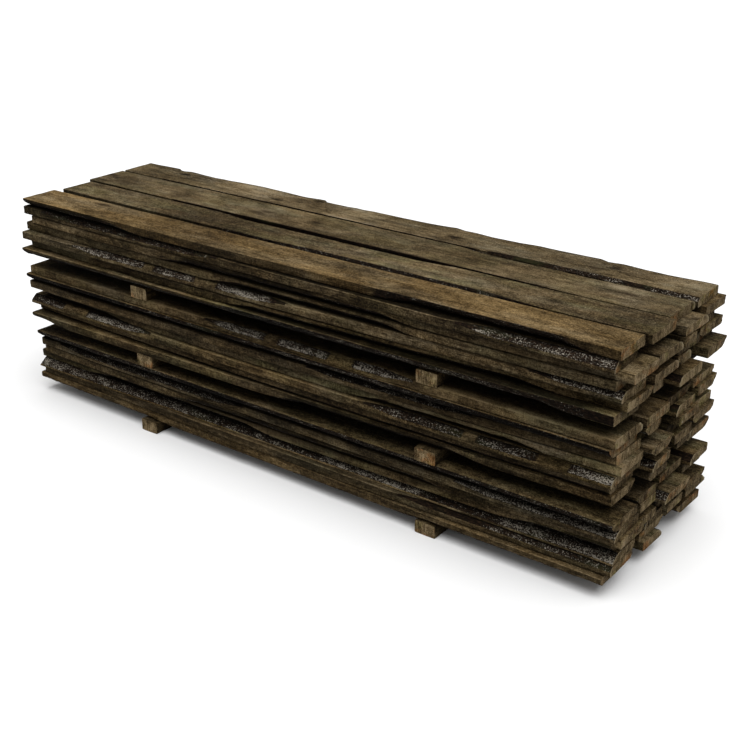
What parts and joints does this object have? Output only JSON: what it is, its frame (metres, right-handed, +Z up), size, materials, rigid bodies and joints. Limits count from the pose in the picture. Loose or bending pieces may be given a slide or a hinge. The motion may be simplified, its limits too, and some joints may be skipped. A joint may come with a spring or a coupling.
{
  "type": "stack of lumber",
  "caption": "Stack of rough-sawn waney-edged boards in three tiers, each tier on a pair of cross bearers, with gaps for forks and slings.",
  "frame": {"origin": "on the ground under the middle of the stack's outline", "axes": "+X along the boards, towards the end whose board ends show; +Y across the stack, from the long side that shows to the back; +Z up"},
  "size_m": [3.08, 0.902, 0.963],
  "materials": {
    "sawn_board": "rough sawn, weathered brown, bark and lichen on waney edges",
    "top_board": "rough sawn, sun and rain weathered, stained",
    "bearer_wood": "rough sawn, paler end grain"
  },
  "bodies": {
    "root": {"ground_bearer_left": "bearer_wood", "ground_bearer_right": "bearer_wood", "bottom_tier_layer_7": "sawn_board", "bottom_tier_layer_6": "sawn_board", "bottom_tier_layer_5": "sawn_board", "bottom_tier_layer_4": "sawn_board", "bottom_tier_layer_3": "sawn_board", "bottom_tier_layer_2": "sawn_board", "bottom_tier_layer_1": "sawn_board", "lower_bearer_left": "bearer_wood", "lower_bearer_right": "bearer_wood", "middle_tier_layer_7": "sawn_board", "middle_tier_layer_6": "sawn_board", "middle_tier_layer_5": "sawn_board", "middle_tier_layer_4": "sawn_board", "middle_tier_layer_3": "sawn_board", "middle_tier_layer_2": "sawn_board", "middle_tier_layer_1": "sawn_board", "upper_bearer_left": "bearer_wood", "upper_bearer_right": "bearer_wood", "top_tier_layer_7": "sawn_board", "top_tier_layer_6": "sawn_board", "top_tier_layer_5": "sawn_board", "top_tier_layer_4": "sawn_board", "top_tier_layer_3": "sawn_board", "top_tier_layer_2": "sawn_board", "top_tier_layer_1": "top_board"}
  },
  "joints": []
}
